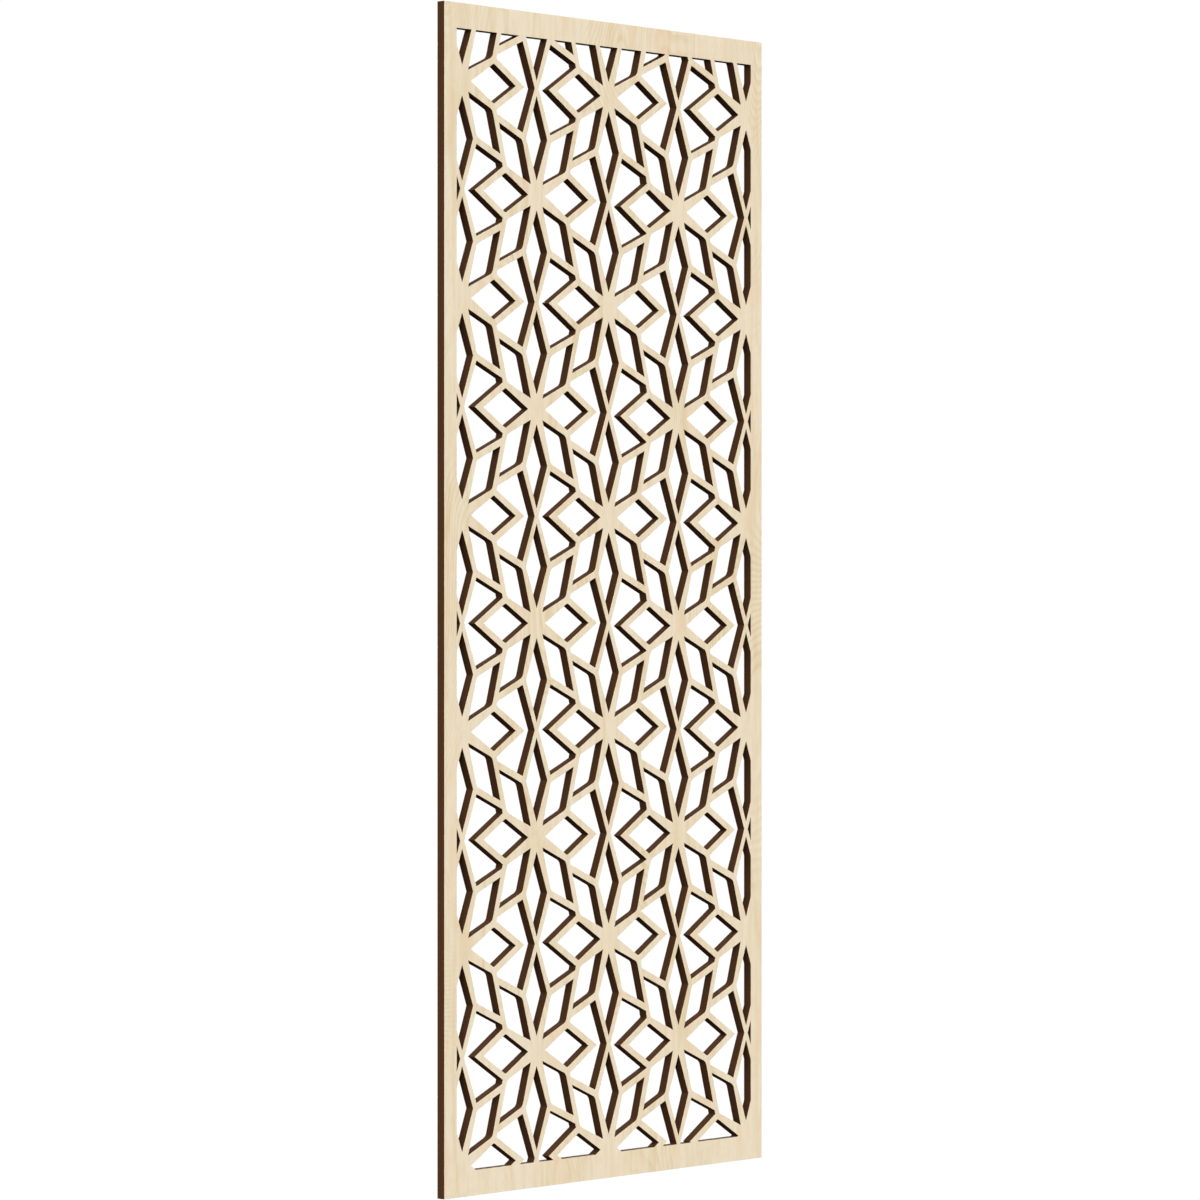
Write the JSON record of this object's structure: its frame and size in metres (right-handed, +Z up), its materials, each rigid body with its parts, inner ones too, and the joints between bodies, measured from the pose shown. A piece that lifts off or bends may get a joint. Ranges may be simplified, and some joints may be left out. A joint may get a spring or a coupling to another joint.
{
  "type": "mashrabiya screen panel",
  "caption": "Flat wooden fretwork panel with a pierced lattice of petalled stars inside a plain rim, made to be hung or set in a frame.",
  "frame": {"origin": "on the back face, in the middle of the top rail", "axes": "+Z up the panel's height, +Y out of the back face, -Y out of the front, +X to the right seen from the front"},
  "size_m": [0.61, 0.0127, 1.524],
  "materials": {
    "pale_panel": "pale straight-grained wood, sanded and matt, with dark brown sawn edges"
  },
  "bodies": {
    "root": {"fretwork_panel": "pale_panel"}
  },
  "joints": []
}
